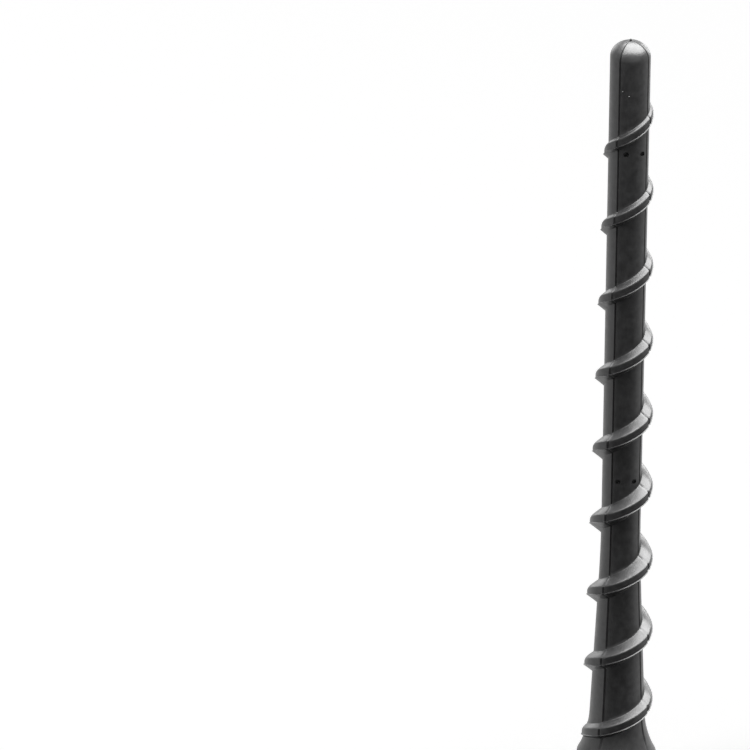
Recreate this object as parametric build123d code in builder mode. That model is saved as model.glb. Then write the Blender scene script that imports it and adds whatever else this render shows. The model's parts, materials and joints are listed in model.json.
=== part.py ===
from build123d import *
import os
from math import atan, atan2, ceil, degrees, floor, hypot, radians, sqrt, tan

# Flexible rubber mast aerial for a car, in millimetres.
# +Z runs up the mast, -Y faces the viewer, and the origin is the centre of the foot's underside.

# Sheath: a domed round shaft that widens as a slow cone and flares into a round foot
mast_height = 203.0
dome_radius = 5.6
dome_edge_radius = 3.6
shaft_radius = 5.05
sheath_wall = 1.6
cone_growth = 2.15
cone_length = 48.0
flare_growth = 3.3
flare_height = 11.4
foot_thickness = 2.6
foot_edge_radius = 0.8

# Spiral rib: it stands on a slow cone of its own, so it grows towards the foot and runs out in the flare
rib_pitch = 20.6
rib_start_below_tip = 15.8
rib_start_angle = 60.0
rib_start_height = 0.75
rib_end_z = 4.6
rib_growth = 0.0187
rib_face_width = 2.0
rib_flank_angle = 25.0
rib_depth = 4.6

# Marks that the mould's pins left in the front of the shaft, in pairs
pin_mark_drops = (29.5, 120.2)
pin_mark_angle = -74.0
pin_mark_spacing = 4.2
pin_mark_radius = 0.6
pin_mark_cover = 0.05

# Threaded base: one turned piece with a stud, a flange, a grip groove and a socket for the core
stud_radius = 2.5
stud_length = 11.0
stud_chamfer = 0.6
flange_lip = 1.9
flange_thickness = 2.2
barrel_wall = 1.75
groove_rise = 3.8
groove_width = 2.6
groove_depth = 0.8
collar_height = 6.4
socket_floor_z = 4.5

# Flexible core and the wire wound on it
core_tip_cover = 13.0
wire_radius = 0.3
wire_pitch = 8.0
wire_top_margin = 3.0

# Bending: equal stations between the base and the stiff upper length, with a cut in the core at each
bend_base_margin = 3.0
stiff_tip_length = 61.0
bend_stations = 6

# Fits
moulded_clearance = 0.05
socket_clearance = 0.05
wire_clearance = 0.05
bore_clearance = 0.1
bore_end_clearance = 0.4
core_joint_gap = 0.1

# Sheath's places
dome_edge_z = mast_height - dome_radius + sqrt(dome_radius**2 - shaft_radius**2)
cone_foot_radius = shaft_radius + cone_growth
foot_radius = cone_foot_radius + flare_growth
cone_foot_z = foot_thickness + flare_height
cone_top_z = cone_foot_z + cone_length
rib_start_radius = shaft_radius + rib_start_height
rib_start_z = mast_height - rib_start_below_tip
rib_height = rib_start_z - rib_end_z
rib_root_width = rib_face_width + 2 * rib_depth * tan(radians(rib_flank_angle))

# Core's and wire's radii, from the shaft inwards
bore_radius = shaft_radius - sheath_wall
wire_centre_radius = bore_radius - bore_clearance - wire_radius
core_radius = wire_centre_radius - wire_radius - wire_clearance
pin_mark_floor = bore_radius + pin_mark_cover

# Base's places, from the core outwards and from the foot upwards
socket_radius = core_radius + socket_clearance
barrel_radius = socket_radius + barrel_wall
groove_radius = barrel_radius - groove_depth
flange_radius = barrel_radius + flange_lip
groove_z = flange_thickness + groove_rise
groove_top_z = groove_z + groove_width
barrel_top_z = groove_top_z + collar_height

# Heights of the core, the wire and the bends
core_top_z = mast_height - core_tip_cover
bore_top_z = core_top_z + bore_end_clearance
wire_low_z = barrel_top_z + wire_clearance + wire_radius
wire_turns = floor((core_top_z - wire_top_margin - wire_low_z) / wire_pitch)
wire_height = wire_turns * wire_pitch
bend_low_z = barrel_top_z + bend_base_margin
bend_spacing = (mast_height - stiff_tip_length - bend_low_z) / bend_stations
bend_heights = [bend_low_z + (i + 0.5) * bend_spacing for i in range(bend_stations)]

os.makedirs("parts", exist_ok=True)


def helix_down(pitch, height, radius, start_z, start_angle, growth):
    """Edges of a right-handed helix that runs down from start_z, about one for each turn."""
    edges = []
    edge_count = ceil(height / pitch)
    reached = Vector(radius, 0, start_z).rotate(Axis.Z, start_angle)
    for _ in range(edge_count):
        turn = Helix(
            pitch,
            height / edge_count,
            hypot(reached.X, reached.Y),
            center=(0, 0, reached.Z),
            direction=(0, 0, -1),
            cone_angle=degrees(atan(growth)),
            mode=Mode.PRIVATE,
        )
        own_angle = degrees(atan2((turn @ 0).Y, (turn @ 0).X))
        edges.append(turn.rotate(Axis.Z, degrees(atan2(reached.Y, reached.X)) - own_angle).edge())
        reached = edges[-1] @ 1
    return edges


def section_plane(path):
    """Plane across the start of a helix, with its X pointing away from the mast's axis."""
    start = path @ 0
    return Plane(origin=start, x_dir=Vector(start.X, start.Y, 0), z_dir=path % 0)


# Sheath, with the rib, the space for the base and the wound core, and the pin marks
with BuildLine() as rib_path:
    add(helix_down(rib_pitch, rib_height, rib_start_radius, rib_start_z, rib_start_angle, rib_growth))

with BuildPart() as rubber_sheath:
    with BuildSketch(Plane.XZ) as outline:
        with BuildLine():
            dome = RadiusArc((shaft_radius, dome_edge_z), (0, mast_height), -dome_radius)
            shaft = Line(dome @ 0, (shaft_radius, cone_top_z))
            cone = Line(shaft @ 1, (cone_foot_radius, cone_foot_z))
            flare = TangentArc(cone @ 1, (foot_radius, foot_thickness), tangent=cone % 1)
            foot_edge = Line(flare @ 1, (foot_radius, 0))
            underside = Line(foot_edge @ 1, (0, 0))
            Line(underside @ 1, dome @ 1)
        make_face()
        foot_rim = outline.vertices().sort_by(Axis.X)[-2:].sort_by(Axis.Y)[-1]
        fillet(foot_rim, foot_edge_radius)
        dome_edge = outline.vertices().sort_by(Axis.Y)[-2]
        fillet(dome_edge, dome_edge_radius)
    revolve(axis=Axis.Z)
    with BuildSketch(section_plane(rib_path.wire())):
        with BuildLine():
            Polyline(
                (0, -rib_face_width / 2),
                (0, rib_face_width / 2),
                (-rib_depth, rib_root_width / 2),
                (-rib_depth, -rib_root_width / 2),
                close=True,
            )
        make_face()
    sweep(path=rib_path.wire(), is_frenet=True)
    with BuildSketch(Plane.XZ):
        with BuildLine():
            Polyline(
                (0, 0),
                (flange_radius + moulded_clearance, 0),
                (flange_radius + moulded_clearance, flange_thickness + moulded_clearance),
                (barrel_radius + moulded_clearance, flange_thickness + moulded_clearance),
                (barrel_radius + moulded_clearance, groove_z + moulded_clearance),
                (groove_radius + moulded_clearance, groove_z + moulded_clearance),
                (groove_radius + moulded_clearance, groove_top_z - moulded_clearance),
                (barrel_radius + moulded_clearance, groove_top_z - moulded_clearance),
                (barrel_radius + moulded_clearance, barrel_top_z + moulded_clearance),
                (bore_radius, barrel_top_z + moulded_clearance),
                (bore_radius, bore_top_z),
                (0, bore_top_z),
                close=True,
            )
        make_face()
    revolve(axis=Axis.Z, mode=Mode.SUBTRACT)
    mark_outward = Vector(1, 0).rotate(Axis.Z, pin_mark_angle)
    mark_across = Vector(0, 1).rotate(Axis.Z, pin_mark_angle)
    for drop in pin_mark_drops:
        mark_centre = mark_outward * pin_mark_floor + Vector(0, 0, mast_height - drop)
        with BuildSketch(Plane(origin=mark_centre, x_dir=mark_across, z_dir=mark_outward)):
            with GridLocations(pin_mark_spacing, 0, 2, 1):
                Circle(pin_mark_radius)
        extrude(amount=shaft_radius - pin_mark_floor, mode=Mode.SUBTRACT)
rubber_sheath.part.label = "rubber_sheath"
export_step(rubber_sheath.part, "parts/rubber_sheath.step")

# Threaded base
with BuildPart() as base_stud:
    with BuildSketch(Plane.XZ):
        with BuildLine():
            Polyline(
                (0, -stud_length),
                (stud_radius - stud_chamfer, -stud_length),
                (stud_radius, stud_chamfer - stud_length),
                (stud_radius, 0),
                (flange_radius, 0),
                (flange_radius, flange_thickness),
                (barrel_radius, flange_thickness),
                (barrel_radius, groove_z),
                (groove_radius, groove_z),
                (groove_radius, groove_top_z),
                (barrel_radius, groove_top_z),
                (barrel_radius, barrel_top_z),
                (socket_radius, barrel_top_z),
                (socket_radius, socket_floor_z),
                (0, socket_floor_z),
                close=True,
            )
        make_face()
    revolve(axis=Axis.Z)
base_stud.part.label = "base_stud"
export_step(base_stud.part, "parts/base_stud.step")

# Core, divided at the stations where it bends
core_lows = [socket_floor_z] + [height + core_joint_gap / 2 for height in bend_heights]
core_highs = [height - core_joint_gap / 2 for height in bend_heights] + [core_top_z]
for number, (low, high) in enumerate(zip(core_lows, core_highs), start=1):
    with BuildPart() as core_rod:
        with BuildSketch(Plane.XY.offset(low)):
            Circle(core_radius)
        extrude(amount=high - low)
    core_rod.part.label = f"core_rod_{number}"
    export_step(core_rod.part, f"parts/core_rod_{number}.step")

# Wire wound on the core, from the top of the base
with BuildLine() as wire_path:
    add(helix_down(wire_pitch, wire_height, wire_centre_radius, wire_low_z + wire_height, 0, 0))

with BuildPart() as copper_winding:
    with BuildSketch(section_plane(wire_path.wire())):
        Circle(wire_radius)
    sweep(path=wire_path.wire(), is_frenet=True)
copper_winding.part.label = "copper_winding"
export_step(copper_winding.part, "parts/copper_winding.step")
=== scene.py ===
import json
from math import atan, atan2, cos, floor, pi, radians, sin, sqrt

import bmesh
import bpy
from mathutils import Matrix, Vector

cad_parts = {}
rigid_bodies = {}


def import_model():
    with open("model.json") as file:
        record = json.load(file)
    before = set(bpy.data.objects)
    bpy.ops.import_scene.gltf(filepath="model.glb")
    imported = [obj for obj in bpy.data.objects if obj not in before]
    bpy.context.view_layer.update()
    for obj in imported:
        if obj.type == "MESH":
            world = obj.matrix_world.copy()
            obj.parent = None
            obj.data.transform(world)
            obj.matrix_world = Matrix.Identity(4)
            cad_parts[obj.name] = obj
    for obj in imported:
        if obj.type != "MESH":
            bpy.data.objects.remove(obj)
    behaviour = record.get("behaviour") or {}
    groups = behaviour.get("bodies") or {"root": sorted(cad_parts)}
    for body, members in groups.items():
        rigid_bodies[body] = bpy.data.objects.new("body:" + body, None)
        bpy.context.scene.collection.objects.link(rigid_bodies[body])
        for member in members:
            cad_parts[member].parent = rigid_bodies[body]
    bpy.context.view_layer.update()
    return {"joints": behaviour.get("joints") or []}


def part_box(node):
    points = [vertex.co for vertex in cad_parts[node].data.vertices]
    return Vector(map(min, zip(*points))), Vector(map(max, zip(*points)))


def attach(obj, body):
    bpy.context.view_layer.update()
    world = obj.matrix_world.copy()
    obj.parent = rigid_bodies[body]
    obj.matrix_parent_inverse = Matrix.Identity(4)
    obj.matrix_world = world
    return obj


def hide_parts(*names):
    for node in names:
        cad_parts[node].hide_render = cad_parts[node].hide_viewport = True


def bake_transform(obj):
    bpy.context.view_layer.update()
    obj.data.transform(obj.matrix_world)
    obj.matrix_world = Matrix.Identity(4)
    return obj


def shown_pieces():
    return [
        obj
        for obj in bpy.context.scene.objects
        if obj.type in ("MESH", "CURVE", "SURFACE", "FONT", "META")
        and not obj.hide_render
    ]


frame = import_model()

# Lengths of the part are in millimetres, and its meshes are made in metres.
MM = 0.001

# Overall sizes and the bends, from the frame
joints = frame["joints"]
last_length = len(joints) - 1
hinge_heights = [joint["pos_m"][2] / MM for joint in joints]
bend_spacing = hinge_heights[1] - hinge_heights[0]
bend_edges = [hinge_heights[0] + (i - 0.5) * bend_spacing for i in range(len(joints) + 1)]
bodies = [joints[0]["parent"]] + [joint["child"] for joint in joints]
mast_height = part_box("rubber_sheath")[1].z / MM
foot_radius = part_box("rubber_sheath")[1].x / MM
core_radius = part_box("core_rod_1")[1].x / MM
core_low_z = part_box("core_rod_1")[0].z / MM
core_top_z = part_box("core_rod_7")[1].z / MM
stud_low_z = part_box("base_stud")[0].z / MM
barrel_top_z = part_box("base_stud")[1].z / MM
flange_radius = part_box("base_stud")[1].x / MM
wire_low_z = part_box("copper_winding")[0].z / MM
wire_high_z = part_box("copper_winding")[1].z / MM

# Sheath
shaft_radius = 5.05
bore_radius = 3.45
bore_end_gap = 0.4
dome_radius = 5.6
dome_edge_radius = 3.6
gate_radius = 0.3
gate_rise = 0.45
gate_shoulder_radius = 0.27
gate_shoulder_drop = 0.05
gate_top_radius = 0.21
cone_foot_radius = 7.2
cone_foot_z = 14.0
cone_top_z = 62.0
cone_blend = 0.4
foot_thickness = 2.6
foot_edge_radius = 0.8
foot_shoulder_inset = 0.025
foot_shoulder_drop = 0.01
foot_rim_drop = 0.21
foot_low_round = 0.3
fit_gap = 0.05

# Spiral rib, with turns from the front in degrees
rib_pitch = 20.6
rib_start_angle = 60.0
rib_start_z = mast_height - 15.8
rib_start_radius = 5.8
rib_end_z = 4.6
rib_growth = 0.0187
rib_least_height = 0.05
rib_upper_edge = 1.12
rib_upper_run = 0.56
rib_side_upper_edge = 0.66
rib_side_upper_run = 0.86
rib_upper_round = 0.4
rib_side_upper_round = 1.3
rib_lower_edge = 1.22
rib_lower_run = 0.78
rib_left_lower_shift = 0.32
rib_right_lower_shift = 0.6
rib_lower_round = 0.22
rib_left_turns = (55.0, 100.0)
rib_right_turns = (75.0, 105.0)
rib_right_lower_turns = (35.0, 80.0)
rib_lip_inset = 0.14
rib_lip_half_width = 0.2
rib_lip_height = 0.42
rib_root_round = 0.22
rib_run_in = 26.0
rib_run_out = 30.0

# Mould marks: four quarters with a fine parting line between them, pairs of pin marks, and pips
parting_angle = -32.0
quarter_crown = 0.031
quarter_crown_level = -0.35
parting_half_angle = 2.8
parting_depth = 0.32
mould_fade = 5.0
pin_marks = ((mast_height - 29.25, -75.0), (mast_height - 119.95, -79.5))
pin_mark_spacing = 4.3
pin_mark_tilt = 0.27
pin_mark_radius = 0.66
pin_mark_floor = 3.6
pin_mark_overreach = 1.0
pips = ((mast_height - 12.4, -112.7), (mast_height - 13.6, -94.7))
pip_radius = 0.3

# Threaded base
flange_thickness = 2.2
barrel_radius = 4.5
groove_radius = 3.7
groove_z = 6.0
groove_top_z = 8.6
socket_radius = 2.75
stud_radius = 2.5
stud_end_radius = 1.9
stud_face_radius = 1.14
stud_relief_radius = 2.0
stud_relief_z = -0.9
stud_relief_slope = 0.25
stud_root_round = 0.3
stud_root_middle = 0.09
thread_pitch = 0.8
thread_depth = 0.49
thread_crest_share = 0.14
thread_flank_share = 0.62
thread_start_rise = 0.02
base_chamfer = 0.2

# Winding and core
wire_radius = 0.3
wire_centre_radius = 3.05
wire_pitch = 8.0
core_chamfer = 0.4

# Mesh steps
quarter_columns = 40
parting_spread = 1.7
small_columns = 64
bore_step = 2.0
open_rows = 9
blend_shares = (-1.0, -0.5, 0.0, 0.5, 1.0)
flank_shares = (0.33, 0.67)
lip_shares = (-1.0, -0.67, -0.33, 0.0)
foot_edge_step = 0.2
foot_low_turns = (0.0, 22.5, 45.0, 67.5, 90.0)
dome_edge_rings = 8
dome_rings = 12
pin_mark_sides = 28
pip_columns = 16
pip_rows = 10
wire_sides = 10
wire_step = 10.0
spare_turns = 2
place_digits = 5
sharp_angle = 38.0
cut_reach = 0.0005


def soft_max(a, b, width):
    """The greater of two values, rounded where they meet."""
    near = max(width - abs(a - b), 0.0) / width
    return max(a, b) + near * near * width / 4


def soft_min(a, b, width):
    """The smaller of two values, rounded where they meet."""
    return -soft_max(-a, -b, width)


def ease(share):
    """A smooth step from 0 to 1."""
    share = min(max(share, 0.0), 1.0)
    return share * share * (3 - 2 * share)


class Shell:
    """Gathers the points and faces of one mesh. Points at the same place are one point."""

    def __init__(self):
        self.points = []
        self.places = {}
        self.faces = []

    def point(self, radius, angle, z):
        place = (radius * cos(radians(angle)), radius * sin(radians(angle)), z)
        return self.place(place)

    def place(self, place):
        key = tuple(round(value, place_digits) + 0.0 for value in place)
        if key not in self.places:
            self.places[key] = len(self.points)
            self.points.append(place)
        return self.places[key]

    def face(self, corners):
        distinct = [c for i, c in enumerate(corners) if c != corners[i - 1]]
        if len(set(distinct)) == len(distinct) >= 3:
            self.faces.append(distinct)

    def ring(self, columns, radius, z):
        """A closed row of points. The radius is a number or depends on the angle."""
        found = radius if callable(radius) else lambda angle: radius
        return [self.point(found(angle), angle, z) for angle in columns]

    def join(self, low, high):
        for i in range(len(low)):
            self.face([low[i - 1], low[i], high[i], high[i - 1]])

    def stack(self, rings):
        for low, high in zip(rings, rings[1:]):
            self.join(low, high)

    def close(self, row, z):
        middle = self.place((0.0, 0.0, z))
        for i in range(len(row)):
            self.face([row[i - 1], row[i], middle])

    def spiral(self, columns, radius_at, rows_at, pitch, start_angle, start_z, low, high):
        """Rows that follow a right-handed spiral, ended by a ring at each of two heights."""
        first = floor((low - start_z) / pitch) - spare_turns
        last = floor((high - start_z) / pitch) + spare_turns
        before = None
        for turn in range(first, last + 1):
            for column in columns:
                angle = column + 360.0 * turn
                middle = start_z + pitch * (angle - start_angle) / 360.0
                row = []
                for rise in rows_at(angle, middle):
                    z = min(max(middle + rise, low), high)
                    row.append(self.point(radius_at(column, z), column, z))
                if before:
                    for j in range(len(row) - 1):
                        self.face([before[j], row[j], row[j + 1], before[j + 1]])
                before = row

    def build(self, name):
        """The mesh object, in metres, with its faces turned outwards."""
        mesh = bpy.data.meshes.new(name)
        mesh.from_pydata([Vector(p) * MM for p in self.points], [], self.faces)
        form = bmesh.new()
        form.from_mesh(mesh)
        bmesh.ops.recalc_face_normals(form, faces=form.faces)
        form.to_mesh(mesh)
        form.free()
        obj = bpy.data.objects.new(name, mesh)
        bpy.context.scene.collection.objects.link(obj)
        return obj


def finish_mesh(obj, material):
    """Shading, material and the rest place that the material's grain is tied to."""
    mesh = obj.data
    mesh.shade_smooth()
    mesh.set_sharp_from_angle(angle=radians(sharp_angle))
    for edge in mesh.edges:
        ends = [mesh.vertices[i].co.z / MM for i in edge.vertices]
        if any(max(abs(z - cut) for z in ends) < cut_reach for cut in bend_edges[1:-1]):
            edge.use_edge_sharp = True
    rest = mesh.attributes.new("rest_place", "FLOAT_VECTOR", "POINT")
    rest.data.foreach_set("vector", [value for v in mesh.vertices for value in v.co])
    mesh.materials.clear()
    mesh.materials.append(material)


# Outline of the sheath without its rib
cone_slope = (cone_foot_radius - shaft_radius) / (cone_top_z - cone_foot_z)
flare_width = foot_radius - cone_foot_radius
flare_height = cone_foot_z - foot_thickness
flare_lean = atan(cone_slope)
flare_arc = (flare_width**2 + flare_height**2) / (
    2 * (flare_width * cos(flare_lean) - flare_height * sin(flare_lean))
)
flare_centre_r = cone_foot_radius + flare_arc * cos(flare_lean)
flare_centre_z = cone_foot_z + flare_arc * sin(flare_lean)
dome_centre_z = mast_height - gate_rise - dome_radius
dome_edge_centre_r = shaft_radius - dome_edge_radius
dome_edge_rise = sqrt((dome_radius - dome_edge_radius) ** 2 - dome_edge_centre_r**2)
dome_low_z = dome_centre_z + dome_edge_rise
dome_edge_turn = atan2(dome_edge_rise, dome_edge_centre_r)
gate_turn = atan2(sqrt(dome_radius**2 - gate_radius**2), gate_radius)
foot_top_z = foot_thickness + foot_edge_radius

# Angle along the rib where it ends
rib_end_angle = rib_start_angle - 360.0 * (rib_start_z - rib_end_z) / rib_pitch


def body_radius(z):
    """Radius of the shaft, the cone and the flare."""
    if z < cone_foot_z:
        return flare_centre_r - sqrt(flare_arc**2 - (flare_centre_z - z) ** 2)
    return shaft_radius + soft_max(0.0, (cone_top_z - z) * cone_slope, cone_blend)


def rib_share(own_angle):
    """How much of the rib stands at a place along it. It runs in below the tip and out in the flare."""
    run_in = ease((rib_start_angle - own_angle) / rib_run_in)
    run_out = ease((own_angle - rib_end_angle) / rib_run_out)
    return run_in * run_out


def rib_crest(own_angle, middle, z):
    """Radius of the rib's face at a height, sunk under the body where there is no rib."""
    full = rib_start_radius + rib_growth * (rib_start_z - middle)
    sunk = body_radius(max(z, foot_thickness)) - rib_root_round
    return sunk + (full - sunk) * rib_share(own_angle)


def quarter_place(angle):
    """Angle from the middle of the mould's quarter, from -45 to 45."""
    return (angle - parting_angle) % 90.0 - 45.0


def crown(angle):
    """How far a quarter's surface stands off the round, as a factor."""
    return 1 + quarter_crown * ((quarter_place(angle) / 45.0) ** 2 - quarter_crown_level)


def parting(angle):
    """Depth of the parting line's groove."""
    return parting_depth * max(0.0, 1 - (45.0 - abs(quarter_place(angle))) / parting_half_angle)


def turned_share(from_front, turns):
    """How far an angle from the front has gone from the first of two turns to the last."""
    first, last = turns
    return ease((abs(from_front) - first) / (last - first))


def rib_section(angle):
    """Edges and flanks of the rib. Its upper side leans more and is rounder at the sides and back."""
    from_front = (angle + 270.0) % 360.0 - 180.0
    if from_front < 0:
        side = turned_share(from_front, rib_left_turns)
        lower_shift = rib_left_lower_shift * side
    else:
        side = turned_share(from_front, rib_right_turns)
        lower_shift = rib_right_lower_shift * turned_share(from_front, rib_right_lower_turns)
    upper_edge = rib_upper_edge + (rib_side_upper_edge - rib_upper_edge) * side
    upper_run = rib_upper_run + (rib_side_upper_run - rib_upper_run) * side
    upper_round = rib_upper_round + (rib_side_upper_round - rib_upper_round) * side
    lower_edge = rib_lower_edge - lower_shift * sin(radians(from_front))
    return upper_edge, upper_run, upper_round, lower_edge


def sheath_radius(angle, z):
    """Radius of the sheath's outside, with the rib, and with the mould's marks above the foot."""
    turns = (z - rib_start_z) / rib_pitch - (angle - rib_start_angle) / 360.0
    turn = floor(turns + 0.5)
    rise = (turns - turn) * rib_pitch
    own_angle = angle + 360.0 * turn
    crest = rib_crest(own_angle, z - rise, z)
    upper_edge, upper_run, upper_round, lower_edge = rib_section(angle)
    upper = crest - (rise - upper_edge) / upper_run
    lower = crest + (rise + lower_edge) / rib_lower_run
    lip = ease(1 - abs(rise + lower_edge - rib_lip_inset) / rib_lip_half_width)
    lip *= rib_lip_height * rib_share(own_angle)
    rib = soft_min(soft_min(crest, upper, upper_round) + lip, lower, rib_lower_round)
    plain = soft_max(body_radius(z), rib, rib_root_round)
    moulded = plain * crown(angle) - parting(angle)
    return plain + (moulded - plain) * ease((z - foot_top_z) / mould_fade)


def flank_rows(height, edge, run, edge_round):
    """Distances of the mesh's rows from the rib's middle, down one flank to the open shaft's middle."""
    edge_blend = edge_round * run
    root_blend = rib_root_round * run
    root = edge + height * run
    flank = root - root_blend - edge - edge_blend
    clear = root + root_blend
    rows = [edge / 2]
    rows += [edge + edge_blend * share for share in blend_shares]
    rows += [edge + edge_blend + flank * share for share in flank_shares]
    rows += [root + root_blend * share for share in blend_shares]
    rows += [clear + (rib_pitch / 2 - clear) * k / open_rows for k in range(1, open_rows + 1)]
    return rows


def rib_rows(own_angle, middle):
    """Heights of the mesh's rows from the rib's middle, close together at its edges, lip and roots."""
    stand = rib_crest(own_angle, middle, middle) - body_radius(max(middle, foot_thickness))
    height = max(stand, rib_least_height)
    upper_edge, upper_run, upper_round, lower_edge = rib_section(own_angle)
    above = flank_rows(height, upper_edge, upper_run, upper_round)
    below = flank_rows(height, lower_edge, rib_lower_run, rib_lower_round)
    below += [lower_edge - rib_lip_inset + rib_lip_half_width * share for share in lip_shares]
    return sorted([-drop for drop in below] + [0.0] + above)


def sheath_columns():
    """Angles of the mesh's columns: even ones, and close ones at each parting line."""
    inner = parting_half_angle * parting_spread
    step = (90.0 - 2 * inner) / quarter_columns
    angles = []
    for quarter in range(4):
        start = parting_angle + 90.0 * quarter
        angles += [start, start + parting_half_angle]
        angles += [start + inner + step * i for i in range(quarter_columns + 1)]
        angles.append(start + 90.0 - parting_half_angle)
    return angles


columns = sheath_columns()
round_columns = [360.0 * i / small_columns for i in range(small_columns)]


def spaced(low, high, step):
    """Heights from low to high, about a step apart."""
    count = max(1, round((high - low) / step))
    return [low + (high - low) * i / count for i in range(count + 1)]


def dome_ring(shell, centre_r, centre_z, radius, turn):
    """A ring at one turn of an arc in the tip's outline, crowned and grooved as the shaft is."""
    reach = centre_r + radius * cos(turn)
    z = centre_z + radius * sin(turn)
    row = []
    for angle in columns:
        depth = parting(angle) * min(1.0, reach / gate_radius - 1.0)
        row.append(shell.point(reach * crown(angle) - depth * cos(turn), angle, z - depth * sin(turn)))
    return row


def close_foot(shell, low_ring, bore_ring):
    """The foot's rim and underside, and the space for the base, up to the bore."""
    rings = [low_ring]
    edge_heights = spaced(foot_thickness + foot_edge_step, foot_top_z, foot_edge_step)
    for z in reversed(edge_heights[:-1]):
        rings.append(shell.ring(columns, body_radius(z), z))
    shoulder_z = foot_thickness - foot_shoulder_drop
    rings.append(shell.ring(columns, foot_radius - foot_shoulder_inset, shoulder_z))
    rings.append(shell.ring(columns, foot_radius, foot_thickness - foot_rim_drop))
    for turn in foot_low_turns:
        inset = foot_low_round * (1 - cos(radians(turn)))
        rings.append(shell.ring(columns, foot_radius - inset, foot_low_round * (1 - sin(radians(turn)))))
    flange = flange_radius + fit_gap
    barrel = barrel_radius + fit_gap
    groove = groove_radius + fit_gap
    for radius, z in (
        ((foot_radius + flange) / 2, 0.0),
        (flange, 0.0),
        (flange, flange_thickness + fit_gap),
        (barrel, flange_thickness + fit_gap),
        (barrel, groove_z + fit_gap),
        (groove, groove_z + fit_gap),
        (groove, groove_top_z - fit_gap),
        (barrel, groove_top_z - fit_gap),
        (barrel, barrel_top_z + fit_gap),
    ):
        rings.append(shell.ring(columns, radius, z))
    rings.append(bore_ring)
    shell.stack(rings)


def close_tip(shell, high_ring):
    """The dome, with the nub of the mould's gate on its top."""
    rings = [high_ring]
    for i in range(1, dome_edge_rings + 1):
        turn = dome_edge_turn * i / dome_edge_rings
        rings.append(dome_ring(shell, dome_edge_centre_r, dome_low_z, dome_edge_radius, turn))
    for i in range(1, dome_rings + 1):
        turn = dome_edge_turn + (gate_turn - dome_edge_turn) * i / dome_rings
        rings.append(dome_ring(shell, 0.0, dome_centre_z, dome_radius, turn))
    rings.append(shell.ring(columns, gate_shoulder_radius, mast_height - gate_shoulder_drop))
    rings.append(shell.ring(columns, gate_top_radius, mast_height))
    shell.stack(rings)
    shell.close(rings[-1], mast_height)


def sheath_length(number):
    """One bending length of the sheath, closed at both ends."""
    shell = Shell()
    lowest = number == 0
    highest = number == last_length
    low = foot_top_z if lowest else bend_edges[number]
    high = dome_low_z if highest else bend_edges[number + 1]
    shell.spiral(
        columns, sheath_radius, rib_rows, rib_pitch, rib_start_angle, rib_start_z, low, high
    )
    low_ring = shell.ring(columns, lambda angle: sheath_radius(angle, low), low)
    high_ring = shell.ring(columns, lambda angle: sheath_radius(angle, high), high)
    bore_low = barrel_top_z + fit_gap if lowest else low
    bore_high = core_top_z + bore_end_gap if highest else high
    bore = [shell.ring(columns, bore_radius, z) for z in spaced(bore_low, bore_high, bore_step)]
    shell.stack(bore)
    if lowest:
        close_foot(shell, low_ring, bore[0])
    else:
        shell.join(bore[0], low_ring)
    if highest:
        shell.close(bore[-1], bore_high)
        close_tip(shell, high_ring)
    else:
        shell.join(high_ring, bore[-1])
    return shell.build(f"rubber_sheath_{number + 1}")


def combine(obj, form, operation):
    """Cuts a form out of the sheath, or joins one to it."""
    tool_mesh = bpy.data.meshes.new("tool")
    form.to_mesh(tool_mesh)
    form.free()
    tool = bpy.data.objects.new("tool", tool_mesh)
    bpy.context.scene.collection.objects.link(tool)
    step = obj.modifiers.new("combine", "BOOLEAN")
    step.operation = operation
    step.solver = "EXACT"
    step.object = tool
    bpy.context.view_layer.update()
    graph = bpy.context.evaluated_depsgraph_get()
    combined = bpy.data.meshes.new_from_object(obj.evaluated_get(graph))
    obj.modifiers.clear()
    obj.data = combined
    bpy.data.objects.remove(tool)


def cut_pin_marks(obj, height, angle):
    """Cuts a pair of pin marks into the front of the sheath."""
    depth = shaft_radius - pin_mark_floor + pin_mark_overreach
    outward = pin_mark_floor + depth / 2
    for side in (-0.5, 0.5):
        place = Vector((outward, side * pin_mark_spacing, height - side * pin_mark_tilt))
        form = bmesh.new()
        bmesh.ops.create_cone(
            form,
            cap_ends=True,
            segments=pin_mark_sides,
            radius1=pin_mark_radius * MM,
            radius2=pin_mark_radius * MM,
            depth=depth * MM,
            matrix=Matrix.Rotation(radians(angle), 4, "Z")
            @ Matrix.Translation(place * MM)
            @ Matrix.Rotation(pi / 2, 4, "Y"),
        )
        combine(obj, form, "DIFFERENCE")


def add_pips(obj):
    """Adds the small pips on the front of the tip."""
    for height, angle in pips:
        place = Vector((shaft_radius * crown(angle), 0.0, height))
        form = bmesh.new()
        bmesh.ops.create_uvsphere(
            form,
            u_segments=pip_columns,
            v_segments=pip_rows,
            radius=pip_radius * MM,
            matrix=Matrix.Rotation(radians(angle), 4, "Z") @ Matrix.Translation(place * MM),
        )
        combine(obj, form, "UNION")


def holds(number, height):
    """Whether a height is in this bending length. The last length goes on to the tip."""
    top = mast_height if number == last_length else bend_edges[number + 1]
    return bend_edges[number] < height < top


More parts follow.
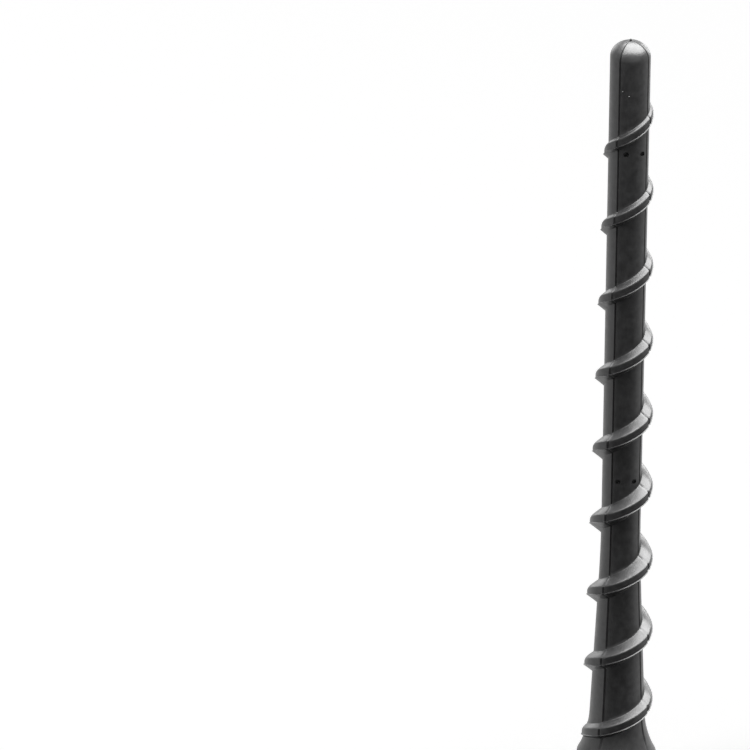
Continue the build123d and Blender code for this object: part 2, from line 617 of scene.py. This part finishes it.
def winding_length(number):
    """One bending length of the wire, closed at both ends."""
    shell = Shell()
    top = wire_high_z - wire_radius
    bottom = wire_low_z + wire_radius
    low = bottom if number == 0 else bend_edges[number]
    high = top if number == last_length else bend_edges[number + 1]
    slope = wire_pitch / (2 * pi * wire_centre_radius)
    count = round((high - low) / wire_pitch * 360.0 / wire_step)
    rings = []
    for i in range(count + 1):
        z = low + (high - low) * i / count
        angle = radians((z - top) / wire_pitch * 360.0)
        outward = Vector((cos(angle), sin(angle), 0.0))
        along = Vector((-sin(angle), cos(angle), slope)).normalized()
        across = along.cross(outward)
        middle = outward * wire_centre_radius + Vector((0.0, 0.0, z))
        row = []
        for side in range(wire_sides):
            turn = 2 * pi * side / wire_sides
            offset = (outward * cos(turn) + across * sin(turn)) * wire_radius
            row.append(shell.place(tuple(middle + offset)))
        rings.append(row)
        if i in (0, count):
            centre = shell.place(tuple(middle))
            for side in range(wire_sides):
                shell.face([row[side - 1], row[side], centre])
    shell.stack(rings)
    return shell.build(f"copper_winding_{number + 1}")


def core_length(number):
    """One bending length of the core, closed at both ends."""
    shell = Shell()
    lowest = number == 0
    highest = number == last_length
    low = core_low_z if lowest else bend_edges[number]
    high = core_top_z if highest else bend_edges[number + 1]
    heights = spaced(low, high, bore_step)
    if lowest:
        heights[0] = low + core_chamfer
    if highest:
        heights[-1] = high - core_chamfer
    rings = [shell.ring(round_columns, core_radius, z) for z in heights]
    if lowest:
        rings.insert(0, shell.ring(round_columns, core_radius - core_chamfer, low))
    if highest:
        rings.append(shell.ring(round_columns, core_radius - core_chamfer, high))
    shell.stack(rings)
    shell.close(rings[0], low)
    shell.close(rings[-1], high)
    return shell.build(f"core_{number + 1}")


def thread_radius(angle, z):
    """Radius of the stud's thread, which runs in from its chamfered end."""
    turns = (z - stud_low_z) / thread_pitch - angle / 360.0
    off = abs(turns - floor(turns + 0.5)) * 2
    depth = min(max((off - thread_crest_share) / thread_flank_share, 0.0), 1.0) * thread_depth
    end = stud_end_radius + (z - stud_low_z)
    return min(stud_radius - depth, end)


def thread_rows(own_angle, middle):
    """Heights of the mesh's rows over one turn of the thread, the same all along it."""
    crest = thread_crest_share / 2
    root = (thread_crest_share + thread_flank_share) / 2
    above = [crest, (crest + root) / 2, root, 0.5]
    below = [-share for share in reversed(above)]
    return [thread_pitch * share for share in below + [0.0] + above]


def threaded_base():
    """The base with its stud, turned in one piece."""
    shell = Shell()
    low = stud_low_z + thread_start_rise
    high = stud_relief_z
    shell.spiral(
        round_columns, thread_radius, thread_rows, thread_pitch, 0.0, stud_low_z, low, high
    )
    end = shell.ring(round_columns, lambda angle: thread_radius(angle, low), low)
    face = shell.ring(round_columns, stud_face_radius, stud_low_z)
    shell.stack([face, end])
    shell.close(face, stud_low_z)
    rings = [shell.ring(round_columns, lambda angle: thread_radius(angle, high), high)]
    for radius, z in (
        (stud_relief_radius, stud_relief_z + stud_relief_slope),
        (stud_relief_radius, -stud_root_round),
        (stud_relief_radius + stud_root_middle, -stud_root_middle),
        (stud_relief_radius + stud_root_round, 0.0),
        ((stud_relief_radius + flange_radius) / 2, 0.0),
        (flange_radius - base_chamfer, 0.0),
        (flange_radius, base_chamfer),
        (flange_radius, flange_thickness - base_chamfer),
        (flange_radius - base_chamfer, flange_thickness),
        (barrel_radius, flange_thickness),
        (barrel_radius, groove_z),
        (groove_radius, groove_z),
        (groove_radius, groove_top_z),
        (barrel_radius, groove_top_z),
        (barrel_radius, barrel_top_z - base_chamfer),
        (barrel_radius - base_chamfer, barrel_top_z),
        (socket_radius, barrel_top_z),
        (socket_radius, core_low_z),
    ):
        rings.append(shell.ring(round_columns, radius, z))
    shell.stack(rings)
    shell.close(rings[-1], core_low_z)
    return shell.build("threaded_base")


# Materials. A noise's values are spread over the span that most of them lie in.
noise_span = (0.3, 0.7)


def start_material(name):
    """A material with its node tree, its shader and the rest place of its surface."""
    material = bpy.data.materials.new(name)
    material.use_nodes = True
    tree = material.node_tree
    shader = tree.nodes["Principled BSDF"]
    rest = tree.nodes.new("ShaderNodeAttribute")
    rest.attribute_name = "rest_place"
    return material, tree, shader, rest.outputs["Vector"]


def add_noise(tree, vector, scale, detail):
    """A noise with that many cells to a metre."""
    noise = tree.nodes.new("ShaderNodeTexNoise")
    noise.inputs["Scale"].default_value = scale
    noise.inputs["Detail"].default_value = detail
    tree.links.new(vector, noise.inputs["Vector"])
    return noise.outputs["Fac"]


def add_range(tree, value, low, high):
    """Spreads a noise between two numbers."""
    spread = tree.nodes.new("ShaderNodeMapRange")
    spread.inputs["From Min"].default_value = noise_span[0]
    spread.inputs["From Max"].default_value = noise_span[1]
    spread.inputs["To Min"].default_value = low
    spread.inputs["To Max"].default_value = high
    tree.links.new(value, spread.inputs["Value"])
    return spread.outputs["Result"]


def add_colours(tree, value, first, second):
    """Spreads a noise between two colours."""
    ramp = tree.nodes.new("ShaderNodeValToRGB")
    for element, position, colour in zip(ramp.color_ramp.elements, noise_span, (first, second)):
        element.position = position
        element.color = (*colour, 1.0)
    tree.links.new(value, ramp.inputs["Fac"])
    return ramp.outputs["Color"]


def add_bump(tree, height, strength, distance, under=None):
    """Raises a noise off the surface, or off another bump."""
    bump = tree.nodes.new("ShaderNodeBump")
    bump.inputs["Strength"].default_value = strength
    bump.inputs["Distance"].default_value = distance
    tree.links.new(height, bump.inputs["Height"])
    if under:
        tree.links.new(under, bump.inputs["Normal"])
    return bump.outputs["Normal"]


def turned_vector(tree, vector):
    """Distance from the axis and height, so that a pattern runs round the axis as turning marks do."""
    split = tree.nodes.new("ShaderNodeSeparateXYZ")
    tree.links.new(vector, split.inputs["Vector"])
    flat = tree.nodes.new("ShaderNodeCombineXYZ")
    tree.links.new(split.outputs["X"], flat.inputs["X"])
    tree.links.new(split.outputs["Y"], flat.inputs["Y"])
    length = tree.nodes.new("ShaderNodeVectorMath")
    length.operation = "LENGTH"
    tree.links.new(flat.outputs["Vector"], length.inputs[0])
    joined = tree.nodes.new("ShaderNodeCombineXYZ")
    tree.links.new(length.outputs["Value"], joined.inputs["X"])
    tree.links.new(split.outputs["Z"], joined.inputs["Z"])
    return joined.outputs["Vector"]


def make_rubber():
    """Satin black rubber with a fine mould grain and faint cloudy patches."""
    material, tree, shader, rest = start_material("rubber")
    cloud = add_noise(tree, rest, scale=700.0, detail=6.0)
    grain = add_noise(tree, rest, scale=2600.0, detail=2.0)
    patch = add_noise(tree, rest, scale=420.0, detail=3.0)
    colour = add_colours(tree, cloud, first=(0.0042, 0.0042, 0.0044), second=(0.0162, 0.0162, 0.0166))
    roughness = add_range(tree, patch, low=0.34, high=0.43)
    coarse = add_bump(tree, patch, strength=0.2, distance=0.00012)
    normal = add_bump(tree, grain, strength=0.2, distance=0.00006, under=coarse)
    tree.links.new(colour, shader.inputs["Base Color"])
    tree.links.new(roughness, shader.inputs["Roughness"])
    tree.links.new(normal, shader.inputs["Normal"])
    shader.inputs["Specular IOR Level"].default_value = 0.55
    return material


def make_steel():
    """Bright plated steel with fine turning marks round its axis."""
    material, tree, shader, rest = start_material("stud_metal")
    marks = add_noise(tree, turned_vector(tree, rest), scale=5200.0, detail=3.0)
    haze = add_noise(tree, rest, scale=260.0, detail=3.0)
    colour = add_colours(tree, haze, first=(0.56, 0.55, 0.52), second=(0.68, 0.67, 0.64))
    roughness = add_range(tree, marks, low=0.24, high=0.38)
    normal = add_bump(tree, marks, strength=0.3, distance=0.00003)
    tree.links.new(colour, shader.inputs["Base Color"])
    tree.links.new(roughness, shader.inputs["Roughness"])
    tree.links.new(normal, shader.inputs["Normal"])
    shader.inputs["Metallic"].default_value = 1.0
    return material


def make_copper():
    """Enamelled copper wire, with a clear coat over drawn metal."""
    material, tree, shader, rest = start_material("copper")
    tone = add_noise(tree, rest, scale=320.0, detail=3.0)
    drawn = add_noise(tree, rest, scale=4200.0, detail=2.0)
    colour = add_colours(tree, tone, first=(0.62, 0.27, 0.13), second=(0.78, 0.40, 0.22))
    roughness = add_range(tree, drawn, low=0.22, high=0.36)
    normal = add_bump(tree, drawn, strength=0.15, distance=0.00003)
    tree.links.new(colour, shader.inputs["Base Color"])
    tree.links.new(roughness, shader.inputs["Roughness"])
    tree.links.new(normal, shader.inputs["Normal"])
    shader.inputs["Metallic"].default_value = 1.0
    shader.inputs["Coat Weight"].default_value = 0.6
    shader.inputs["Coat Roughness"].default_value = 0.12
    return material


def make_nylon():
    """Natural nylon rod, milky with a faint grain."""
    material, tree, shader, rest = start_material("core_plastic")
    milk = add_noise(tree, rest, scale=180.0, detail=4.0)
    grain = add_noise(tree, rest, scale=2100.0, detail=2.0)
    colour = add_colours(tree, milk, first=(0.72, 0.70, 0.63), second=(0.81, 0.79, 0.73))
    roughness = add_range(tree, grain, low=0.42, high=0.56)
    normal = add_bump(tree, grain, strength=0.12, distance=0.00004)
    tree.links.new(colour, shader.inputs["Base Color"])
    tree.links.new(roughness, shader.inputs["Roughness"])
    tree.links.new(normal, shader.inputs["Normal"])
    return material


rubber = make_rubber()
steel = make_steel()
copper = make_copper()
nylon = make_nylon()

# Pieces of the part: the lengths cut at the bend edges, each around the height of its own joint, and the
# base
for number in range(len(joints)):
    sheath = sheath_length(number)
    for height, angle in pin_marks:
        if holds(number, height):
            cut_pin_marks(sheath, height, angle)
    if number == last_length:
        add_pips(sheath)
    finish_mesh(sheath, rubber)
    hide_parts("rubber_sheath")
    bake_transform(sheath)
    winding = winding_length(number)
    finish_mesh(winding, copper)
    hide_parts("copper_winding")
    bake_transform(winding)
    core = core_length(number)
    finish_mesh(core, nylon)
    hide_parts(f"core_rod_{number + 1}", f"core_rod_{number + 2}")
    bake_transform(core)

base = threaded_base()
finish_mesh(base, steel)
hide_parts("base_stud")
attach(base, bodies[0])

# Floor, world, lamps and cards, in metres
scene = bpy.context.scene
scene.view_settings.view_transform = "Standard"
white = (1.0, 1.0, 1.0, 1.0)
floor_half = 6.0
floor_shade = 0.80
floor_roughness = 0.9
floor_lift = 0.53
floor_z = stud_low_z * MM
world_dim = 0.5
card_z = floor_z + 0.001
dark_card_corners = ((0.0, -0.012), (-0.73, -0.53), (-0.35, -1.0), (0.5, -0.95), (0.70, -0.62))
grey_card_corners = ((0.0, -0.012), (0.70, -0.62), (0.87, -0.23))


def add_flat(name, corners, z, shade):
    """A flat face at a height, with a plain grey material. Returns the object and its material."""
    mesh = bpy.data.meshes.new(name)
    mesh.from_pydata([(x, y, z) for x, y in corners], [], [range(len(corners))])
    material = bpy.data.materials.new(name)
    material.use_nodes = True
    shader = material.node_tree.nodes["Principled BSDF"]
    shader.inputs["Base Color"].default_value = (shade, shade, shade, 1.0)
    mesh.materials.append(material)
    flat = bpy.data.objects.new(name, mesh)
    scene.collection.objects.link(flat)
    return flat, material


def seen_ray(tree):
    """1 for rays that show the background: from the camera, in a gloss or through glass."""
    path = tree.nodes.new("ShaderNodeLightPath")
    first = tree.nodes.new("ShaderNodeMath")
    first.operation = "MAXIMUM"
    tree.links.new(path.outputs["Is Camera Ray"], first.inputs[0])
    tree.links.new(path.outputs["Is Glossy Ray"], first.inputs[1])
    second = tree.nodes.new("ShaderNodeMath")
    second.operation = "MAXIMUM"
    tree.links.new(first.outputs["Value"], second.inputs[0])
    tree.links.new(path.outputs["Is Transmission Ray"], second.inputs[1])
    return second.outputs["Value"]


def add_floor():
    """The pale floor, lifted to white where it is seen."""
    corners = [(x * floor_half, y * floor_half) for x, y in ((-1, -1), (1, -1), (1, 1), (-1, 1))]
    material = add_flat("floor", corners, floor_z, floor_shade)[1]
    tree = material.node_tree
    shader = tree.nodes["Principled BSDF"]
    shader.inputs["Roughness"].default_value = floor_roughness
    shader.inputs["Emission Color"].default_value = white
    lift = tree.nodes.new("ShaderNodeMath")
    lift.operation = "MULTIPLY"
    lift.inputs[1].default_value = floor_lift
    tree.links.new(seen_ray(tree), lift.inputs[0])
    tree.links.new(lift.outputs["Value"], shader.inputs["Emission Strength"])


def add_world():
    """A white world, dimmer where it only lights things."""
    world = bpy.data.worlds.new("world")
    scene.world = world
    world.use_nodes = True
    tree = world.node_tree
    background = tree.nodes["Background"]
    background.inputs["Color"].default_value = white
    level = tree.nodes.new("ShaderNodeMapRange")
    level.inputs["To Min"].default_value = world_dim
    level.inputs["To Max"].default_value = 1.0
    tree.links.new(seen_ray(tree), level.inputs["Value"])
    tree.links.new(level.outputs["Result"], background.inputs["Strength"])


def add_softbox(name, place, aim, width, depth, brightness, lights_floor=False):
    """A rectangular lamp, as bright at any size, which lights the part alone or the floor too."""
    data = bpy.data.lights.new(name, "AREA")
    data.shape = "RECTANGLE"
    data.size = width
    data.size_y = depth
    data.energy = brightness * pi * width * depth
    lamp = bpy.data.objects.new(name, data)
    lamp.location = place
    lamp.rotation_euler = (Vector(aim) - Vector(place)).to_track_quat("-Z", "Y").to_euler()
    lamp.visible_camera = False
    scene.collection.objects.link(lamp)
    if not lights_floor:
        lamp.light_linking.receiver_collection = lit


def add_card(name, corners, shade):
    """A card on the floor in front, which only reflections see."""
    card = add_flat(name, corners, card_z, shade)[0]
    card.visible_camera = False
    card.visible_diffuse = False
    card.visible_shadow = False
    card.visible_transmission = False


lit = bpy.data.collections.new("lit")
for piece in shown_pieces():
    lit.objects.link(piece)

add_floor()
add_world()
mast_middle = (0.0, 0.0, mast_height * MM / 2)
add_softbox("overhead", (0.38, 0.20, 1.2), (0.38, 0.20, 0.0), width=1.66, depth=1.4, brightness=16.0)
add_softbox("rim", (1.20, 1.40, 0.90), mast_middle, width=0.9, depth=0.7, brightness=5.0)
add_softbox("back_left", (-0.80, 1.55, 0.45), mast_middle, width=0.8, depth=0.8, brightness=2.4)
add_softbox("back_right", (1.00, 1.60, 0.20), mast_middle, width=1.0, depth=0.4, brightness=5.5)
add_softbox(
    "key", (-0.9, -0.5, 1.5), mast_middle, width=0.5, depth=0.5, brightness=4.5, lights_floor=True
)
add_card("dark_card", dark_card_corners, shade=0.03)
add_card("grey_card", grey_card_corners, shade=0.5)

# Camera at the photo's place, with its focal length in pixels of the photo
camera_place = (-0.06405, -1.2447, 0.6537)
camera_tilt = 23.55
camera_focal = 5277.0
camera_nearest = 0.01
photo_width = 750.0
sensor_width = 36.0
camera_data = bpy.data.cameras.new("camera")
camera_data.sensor_width = sensor_width
camera_data.lens = sensor_width * camera_focal / photo_width
camera_data.clip_start = camera_nearest
camera = bpy.data.objects.new("camera", camera_data)
camera.location = camera_place
camera.rotation_euler = (radians(90.0 - camera_tilt), 0.0, 0.0)
scene.collection.objects.link(camera)
scene.camera = camera
